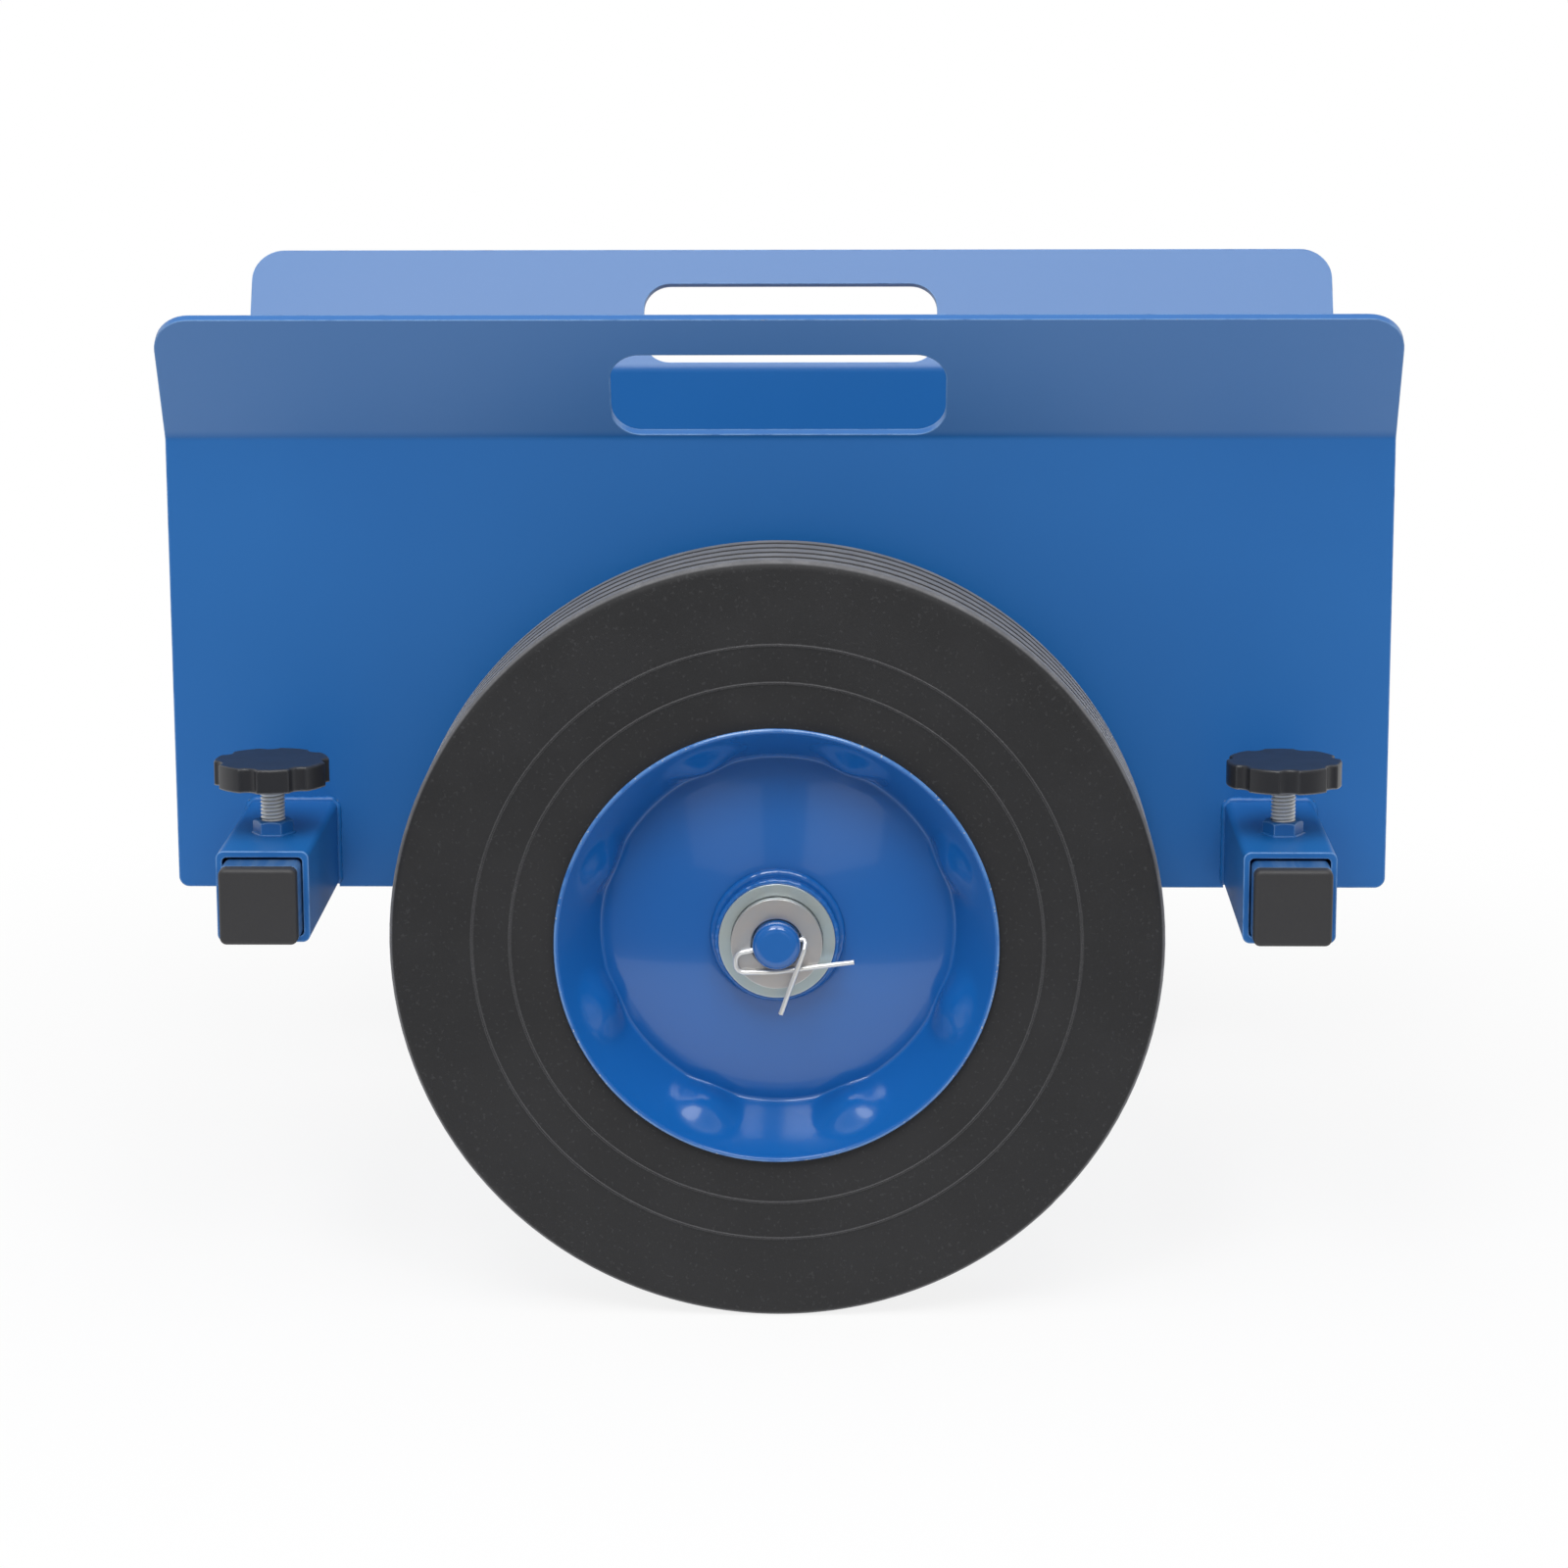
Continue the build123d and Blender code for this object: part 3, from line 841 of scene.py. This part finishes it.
@dataclass(frozen=True)
class PressedDisc:
    """A dished wheel disc pressed from one sheet, with soft dimples round its wall.

    Its section is drawn in radius and distance out from the wheel's middle, from the lip inwards.
    """

    lip_radius: float = 71.6 * MM
    lip_out: float = 27.0 * MM
    lip_round: float = 0.45 * MM
    lip_turns = (0.5, 1.05, 1.57, 2.09, 2.64)
    sheet: float = 1.5 * MM
    wall_steps = 20
    crease_radius: float = 58.2 * MM
    crease_bend: float = 1.0 * MM
    crease_steps = 6
    shoulder_radius: float = 53.5 * MM
    shoulder_out: float = 2.75 * MM
    shoulder_slope: float = math.radians(19)
    shoulder_steps = 10
    dome_steps = 24
    hub_radius: float = 20.15 * MM
    hub_out: float = 8.1 * MM
    hub_bend: float = 1.5 * MM
    hub_steps = 5
    hub_lip: float = 3.5 * MM
    dimples: int = 8
    dimple_reach: float = 14.5 * MM
    dimple_depth: float = 3.6 * MM
    dimple_from_crease: float = 9.0 * MM
    dimple_circle: float = 63.2 * MM
    dimple_steps = 24

    @staticmethod
    def arc(start: Vector, heading: Vector, end: Vector, steps: int) -> list[Vector]:
        """Points of a round arc that leaves a point in a given direction.

        Args:
            start: First point, which isn't repeated.
            heading: Unit direction there.
            end: Last point.
            steps: Number of points.

        Returns:
            The points.
        """
        chord = end - start
        normal = Vector((-heading.y, heading.x))
        centre = start + normal * (chord.length_squared / (2 * chord.dot(normal)))
        turn = 2 * math.atan2(heading.x * chord.y - heading.y * chord.x, heading.dot(chord))
        turns = [turn * step / steps for step in range(1, steps + 1)]
        return [centre + Matrix.Rotation(part, 2) @ (start - centre) for part in turns]

    def front(self) -> tuple[list[Vector], float]:
        """The line of the sheet's front.

        Returns:
            The points, and the length along them from the lip to the foot of the wall.
        """
        lip = Vector((self.lip_radius, self.lip_out))
        crease = Vector((self.crease_radius, self.sheet + self.crease_bend))
        sight = lip - crease
        lean = math.atan2(sight.y, sight.x) - math.acos(self.crease_bend / sight.length)
        foot = crease + Vector((math.cos(lean), math.sin(lean))) * self.crease_bend
        down = (foot - lip).normalized()
        top = lip + down * self.lip_round
        points = [top.lerp(foot, step / self.wall_steps) for step in range(self.wall_steps + 1)]
        sine, cosine = math.sin(self.shoulder_slope), math.cos(self.shoulder_slope)
        dome_foot = crease - Vector((sine, cosine)) * self.crease_bend
        points += self.arc(foot, down, dome_foot, self.crease_steps)
        shoulder = Vector((self.shoulder_radius, self.shoulder_out))
        points += self.arc(dome_foot, Vector((-cosine, sine)), shoulder, self.shoulder_steps)
        rise = (points[-1] - points[-2]).normalized()
        hub = Vector((self.hub_radius, self.hub_out))
        dome = self.arc(shoulder, rise, hub, self.dome_steps)
        points += [point for point in dome if point.x > self.hub_radius + self.hub_bend]
        bend = Vector((self.hub_radius + self.hub_bend, points[-1].y - self.hub_bend))
        for step in range(self.hub_steps + 1):
            turn = math.pi / 2 * (1 + step / self.hub_steps)
            points.append(bend + Vector((math.cos(turn), math.sin(turn))) * self.hub_bend)
        points.append(hub - Vector((0, self.hub_lip)))
        return points, (foot - top).length

    def section(self) -> list[tuple[Vector, float]]:
        """The closed outline of the sheet.

        Returns:
            Its points, each with the length along the front from the foot of the wall up to it.
        """
        line, wall = self.front()
        runs = [wall]
        for before, after in zip(line, line[1:]):
            runs.append(runs[-1] - (after - before).length)
        ends = [line[0] * 2 - line[1], *line, line[-1] * 2 - line[-2]]
        back = []
        for before, point, after in zip(ends, line, ends[2:]):
            along = (after - before).normalized()
            back.append(point + Vector((-along.y, along.x)) * self.sheet)
        middle = (line[0] + back[0]) / 2
        across = (line[0] - back[0]) / 2
        rise = (line[0] - line[1]).normalized() * self.lip_round
        outline = list(zip(line, runs))
        outline += zip(reversed(back), reversed(runs))
        for turn in self.lip_turns:
            outline.append((middle - across * math.cos(turn) + rise * math.sin(turn), wall))
        return outline

    def press(self, run: float, turn: float) -> float:
        """How far a dimple pushes the sheet in at a point.

        Args:
            run: Length from the foot of the wall up to the point.
            turn: Angle round the wheel.

        Returns:
            The push in metres.
        """
        pitch = math.tau / self.dimples
        aside = ((turn / pitch) % 1.0 - 0.5) * pitch * self.dimple_circle
        along = run - self.dimple_from_crease
        near = 1 - (aside * aside + along * along) / (self.dimple_reach * self.dimple_reach)
        return self.dimple_depth * near * near if near > 0 else 0.0

    def build(self, name: str, centre: Vector, way: float, material: Material, body: str) -> Object:
        """Makes the disc.

        Args:
            name: The piece's name.
            centre: Middle of the wheel.
            way: The way along Y that the disc faces.
            material: Its finish.
            body: The body that it rides on.

        Returns:
            The piece.
        """
        outline = self.section()
        top, below = outline[0][0], outline[1][0]
        inward = Vector((below.y - top.y, top.x - below.x)).normalized()
        count = self.dimples * self.dimple_steps
        corners: list[Vector] = []
        for step in range(count):
            turn = math.tau * step / count
            for point, run in outline:
                spot = point + inward * self.press(run, turn)
                across, above = spot.x * math.cos(turn), spot.x * math.sin(turn)
                corners.append(centre + Vector((across, spot.y * way, above)))
        faces = loft_faces(count, len(outline), True)
        return new_piece(name, corners, faces, material, body)


@dataclass
class Assembly:
    """Solids that belong together, whose names start with that of the end or side they are at."""

    owner: End | Side
    finishes: Finishes
    nodes: dict[str, Object]

    def looks(self) -> dict[str, Material]:
        """The finish of each solid, by the rest of its name."""
        raise NotImplementedError

    def build(self) -> None:
        """Makes the pieces that are added to the solids."""
        raise NotImplementedError

    def dress(self) -> None:
        """Gives each solid its finish, all over."""
        for piece, material in self.looks().items():
            slots = self.nodes[f"{self.owner.value}_{piece}"].data.materials
            slots.clear()
            slots.append(material)


@dataclass
class Wheel(Assembly):
    """One wheel: tyre, two pressed discs and the hub, with the beads that join them."""

    owner: End
    disc: PressedDisc = PressedDisc()
    hub_bead: WeldBead = WeldBead(1.7 * MM, 3.2 * MM, ripple_depth=0.06, wander=0.06)
    hub_bead_off: float = 0.6 * MM
    end_bead: WeldBead = WeldBead(0.8 * MM, 2.6 * MM, ripple_depth=0.3, wander=0.3)
    end_bead_in: float = 0.4 * MM

    def looks(self) -> dict[str, Material]:
        """The finish of each solid."""
        looks = {"tyre": self.finishes.rubber[self.owner], "hub_tube": self.finishes.rim}
        for side in ("outer", "inner"):
            looks[f"rim_{side}_disc"] = self.finishes.rim
            looks[f"{side}_bearing_shell"] = self.finishes.zinc
            looks[f"{side}_bearing_balls"] = self.finishes.wire
        return looks

    def build(self) -> None:
        """Presses the discs and lays the beads round the hub tube at each side of the wheel."""
        end, rim = self.owner.value, self.finishes.rim
        body = f"{end}_wheel"
        low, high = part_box(f"{end}_hub_tube")
        middle = (low + high) / 2
        radius = (high.x - low.x) / 2
        for face, way in ((low.y, -1.0), (high.y, 1.0)):
            side = "outer" if way == self.owner.outward else "inner"
            pressed = self.disc.build(f"{end}_{side}_pressed_disc", middle, way, rim, body)
            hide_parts(f"{end}_rim_{side}_disc")
            out = Vector((0, way, 0))
            centre = middle + out * (self.disc.hub_out + self.hub_bead_off)
            ring = ring_path(centre, radius + self.hub_bead_off)
            self.hub_bead.lay(f"{end}_{side}_hub_weld", ring, out, True, rim, body)
            centre = Vector((middle.x, face - way * self.end_bead_in, middle.z))
            ring = ring_path(centre, radius - self.end_bead_in)
            self.end_bead.lay(f"{end}_{side}_hub_edge", ring, out, True, rim, body)


@dataclass
class Half(Assembly):
    """One side panel with its axle plate, stub axle, washer and pin."""

    owner: End
    bead: WeldBead = WeldBead(1.7 * MM, 2.0 * MM)
    axle_bead_off: float = 0.6 * MM
    plate_bead_drop: float = 22 * MM

    def looks(self) -> dict[str, Material]:
        """The finish of each solid."""
        look = self.finishes
        return {
            "panel": look.frame,
            "axle_plate": look.frame,
            "axle": look.rim,
            "axle_collar": look.frame,
            "axle_washer": look.washer,
            "retaining_pin": look.wire,
            "outer_bearing_race": look.zinc,
            "inner_bearing_race": look.zinc,
        }

    def build(self) -> None:
        """Lays the beads that hold the axle in its plate and the plate on the panel."""
        end, paint = self.owner.value, self.finishes.frame
        body = f"{end}_frame"
        low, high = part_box(f"{end}_axle_plate")
        axle_low, axle_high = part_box(f"{end}_axle")
        outward = self.owner.outward
        normal = Vector((0, outward, 0))
        face, against = (high.y, low.y) if outward > 0 else (low.y, high.y)
        centre = (axle_low + axle_high) / 2
        centre.y = face
        ring = ring_path(centre, (axle_high.x - axle_low.x) / 2 + self.axle_bead_off)
        self.bead.lay(f"{end}_axle_weld", ring, normal, True, paint, body)
        foot = high.z - self.plate_bead_drop
        outline = ((low.x, foot), (low.x, high.z), (high.x, high.z), (high.x, foot))
        edge = [Vector((x, against, z)) for x, z in outline]
        self.bead.lay(f"{end}_plate_weld", edge, normal, False, paint, body)


@dataclass
class Clamp(Assembly):
    """One sleeve with its slide tube, cap, welded nut, threaded screw and knob.

    The thread's profile is given in parts of its pitch and of its depth.
    """

    owner: Side
    pitch: float = 1.25 * MM
    root_depth: float = 0.75 * MM
    lead_in: float = 0.8 * MM
    profile = ((0.0, 0.0), (0.16, 0.0), (0.44, 1.0), (0.56, 1.0), (0.84, 0.0))
    turn_steps = 40
    bead: WeldBead = WeldBead(1.3 * MM, 1.7 * MM)
    bead_corner: float = 2.0 * MM
    bead_foot: float = 1.0 * MM
    nut_bead: WeldBead = WeldBead(0.7 * MM, 1.4 * MM)

    def looks(self) -> dict[str, Material]:
        """The finish of each solid."""
        look = self.finishes
        return {
            "sleeve": look.frame,
            "slide_tube": look.tube,
            "tube_cap": look.cap,
            "clamp_nut": look.frame,
            "clamp_screw": look.thread,
            "knob": look.knob,
        }

    def build(self) -> None:
        """Cuts the thread and lays the beads of the sleeve, the tube and the nut."""
        self.cut_thread()
        self.weld()

    def cut_thread(self) -> None:
        """Makes the screw with a real helix in place of the plain one."""
        side, thread = self.owner.value, self.finishes.thread
        low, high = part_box(f"{side}_clamp_screw")
        centre = (low + high) / 2
        crest = (high.x - low.x) / 2
        rows = math.ceil((high.z - low.z) / self.pitch) + 2
        levels = [(row + place, depth) for row in range(rows) for place, depth in self.profile]
        corners: list[Vector] = []
        for level, depth in levels:
            for step in range(self.turn_steps + 1):
                part = step / self.turn_steps
                height = low.z + (level - 1 + part) * self.pitch
                height = min(max(height, low.z), high.z)
                taper = max(0.0, self.lead_in - (height - low.z))
                radius = min(crest - depth * self.root_depth, crest - taper)
                turn = math.tau * part
                across, along = radius * math.cos(turn), radius * math.sin(turn)
                corners.append(Vector((centre.x + across, centre.y + along, height)))
        faces = loft_faces(len(levels), self.turn_steps + 1, False, wrapped=False)
        name, body = f"{side}_threaded_screw", f"{side}_screw"
        screw = new_piece(name, corners, faces, thread, body)
        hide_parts(f"{side}_clamp_screw")

    def weld(self) -> None:
        """Lays the beads of the sleeve on the front panel, the tube on the rear one and the nut."""
        side, paint, forward = self.owner.value, self.finishes.frame, Vector((0, -1, 0))
        low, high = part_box(f"{side}_sleeve")
        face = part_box("front_axle_plate")[1].y
        over_top = box_path(low, high, face, self.bead_corner)[1:5]
        left, right = (Vector((x, face, low.z + self.bead_foot)) for x in (low.x, high.x))
        path = [left, *over_top, right]
        self.bead.lay(f"{side}_sleeve_weld", path, forward, False, paint, "front_frame")
        low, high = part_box(f"{side}_slide_tube")
        path = box_path(low, high, high.y, self.bead_corner)
        self.bead.lay(f"{side}_tube_weld", path, forward, True, paint, "rear_frame")
        low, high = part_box(f"{side}_clamp_nut")
        centre = (low + high) / 2
        centre.z = low.z
        radius = (high.y - low.y) / 2 / math.cos(math.pi / 6)
        turns = [math.pi / 3 * corner for corner in range(6)]
        path = [centre + Vector((math.cos(turn), math.sin(turn), 0)) * radius for turn in turns]
        self.nut_bead.lay(f"{side}_nut_weld", path, Vector((0, 0, 1)), True, paint, "front_frame")


@dataclass(frozen=True)
class Softbox:
    """A large soft lamp."""

    name: str
    place: Point
    aim: Point
    width: float
    height: float
    radiance: float

    def build(self) -> None:
        """Hangs the lamp."""
        lamp = bpy.data.lights.new(self.name, "AREA")
        lamp.shape = "RECTANGLE"
        lamp.size = self.width
        lamp.size_y = self.height
        lamp.energy = self.radiance * math.pi * self.width * self.height
        obj = bpy.data.objects.new(self.name, lamp)
        turn = (Vector(self.aim) - Vector(self.place)).to_track_quat("-Z", "Y")
        obj.matrix_world = Matrix.Translation(self.place) @ turn.to_matrix().to_4x4()
        obj.visible_camera = False
        bpy.context.scene.collection.objects.link(obj)


@dataclass(frozen=True)
class Studio:
    """White floor and surround, softboxes above and beside the camera, and the camera."""

    focal_pixels: float = 4508.0
    camera_place: Point = (0.0319, -1.5514, 0.4753)
    yaw: float = -0.020895
    pitch: float = 0.2070985
    roll: float = 0.003444
    ambient: float = 0.5
    mirrored_front: float = 0.2
    mirrored_band: Band = (-0.45, 0.2)
    floor_front: float = -0.45
    floor_size: float = 4.0
    floor_colour: Colour = (0.86, 0.86, 0.86, 1.0)
    shadow_white: float = 0.85
    shadow_band: Band = (0.25, 0.7)
    lamps: tuple[Softbox, ...] = (
        Softbox("overhead_softbox", (0, -0.65, 1.6), (0, -0.2, 0.1), 1.2, 0.7, 2.7),
        Softbox("left_high_softbox", (-0.52, -1.75, 1.95), (-0.52, 0, 0.2), 0.77, 0.9, 9.3),
        Softbox("right_high_softbox", (0.52, -1.75, 1.95), (0.52, 0, 0.2), 0.77, 0.9, 6.9),
        Softbox("left_low_softbox", (-0.4, -2.3, 0.33), (-0.4, 0, 0.2), 0.5, 0.5, 0.4),
        Softbox("right_low_softbox", (0.4, -2.3, 0.33), (0.4, 0, 0.2), 0.5, 0.5, 0.55),
    )

    def build(self) -> None:
        """Sets up the floor, the surround, the lamps and the camera."""
        self.lay_floor()
        self.light_world()
        for lamp in self.lamps:
            lamp.build()
        self.set_camera()
        bpy.context.scene.view_settings.view_transform = "Standard"

    def lay_floor(self) -> None:
        """Lays a pale floor that the camera sees as white, with the dolly's shadow on it."""
        far, front = self.floor_size, self.floor_front
        corners = [(-far, front, 0), (far, front, 0), (far, far, 0), (-far, far, 0)]
        mesh = bpy.data.meshes.new("floor")
        mesh.from_pydata(corners, [], [(0, 1, 2, 3)])
        floor = bpy.data.objects.new("floor", mesh)
        bpy.context.scene.collection.objects.link(floor)
        floor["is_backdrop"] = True
        material, graph = new_material("floor_white")
        camera, mirrored = graph.rays()
        away = graph.vector("LENGTH", graph.place()).out("Value")
        white = self.shadow_white + away.between(*self.shadow_band) * (1 - self.shadow_white)
        seen = camera.at_least(mirrored) * white
        matt = graph.add("ShaderNodeBsdfDiffuse", None, {"Color": self.floor_colour}).out("BSDF")
        glow = graph.add("ShaderNodeEmission", None, {"Color": WHITE, "Strength": 1.0})
        surface = graph.add("ShaderNodeMixShader", None, {0: seen, 1: matt, 2: glow})
        graph.add("ShaderNodeOutputMaterial", None, {"Surface": surface})
        mesh.materials.append(material)

    def light_world(self) -> None:
        """Gives soft light from all round, and white where the surround itself is seen."""
        world = bpy.data.worlds.new("surround")
        world.use_nodes = True
        bpy.context.scene.world = world
        graph = Graph(world.node_tree)
        camera, mirrored = graph.rays()
        way = graph.add("ShaderNodeTexCoord").out("Generated")
        behind = graph.parts(way).out("Y").between(*self.mirrored_band)
        white = self.mirrored_front + behind * (1 - self.mirrored_front)
        seen = camera.at_least(mirrored * white)
        plain = (1 - camera.at_least(mirrored)) * self.ambient
        inputs = {"Color": WHITE, "Strength": seen + plain}
        glow = graph.add("ShaderNodeBackground", None, inputs)
        graph.add("ShaderNodeOutputWorld", None, {"Surface": glow})

    def set_camera(self) -> None:
        """Puts the camera where the photograph was taken from."""
        camera = bpy.data.cameras.new("camera")
        camera.sensor_fit = "HORIZONTAL"
        camera.sensor_width = SENSOR_MM
        camera.lens = self.focal_pixels / IMAGE_PIXELS * SENSOR_MM
        level = Vector((math.cos(self.yaw), -math.sin(self.yaw), 0))
        forward = Vector((math.sin(self.yaw), math.cos(self.yaw), 0))
        ahead = forward * math.cos(self.pitch) - Vector((0, 0, math.sin(self.pitch)))
        down = ahead.cross(level)
        right = level * math.cos(self.roll) + down * math.sin(self.roll)
        up = level * math.sin(self.roll) - down * math.cos(self.roll)
        turn = Matrix((right, up, -ahead)).transposed().to_4x4()
        obj = bpy.data.objects.new("camera", camera)
        obj.matrix_world = Matrix.Translation(self.camera_place) @ turn
        bpy.context.scene.collection.objects.link(obj)
        bpy.context.scene.camera = obj


def main() -> None:
    """Builds and dresses each part of the dolly in order."""
    logging.basicConfig(level=logging.INFO, format="%(message)s")
    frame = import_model()
    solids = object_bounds()
    nodes = frame["nodes"]
    low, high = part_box("front_tyre")
    finishes = Finishes(
        axle_height=(low.z + high.z) / 2,
        tyre_radius=(high.z - low.z) / 2,
        flange_foot=solids[1].z - FLANGE_RISE,
    )
    parts: list[Assembly] = []
    for end in End:
        parts += [Half(end, finishes, nodes), Wheel(end, finishes, nodes)]
    for side in Side:
        parts.append(Clamp(side, finishes, nodes))
    for part in parts:
        part.dress()
        part.build()
        LOG.info("dressed the %s %s", part.owner.value, type(part).__name__.lower())
    Studio().build()


if __name__ == "__main__":
    main()
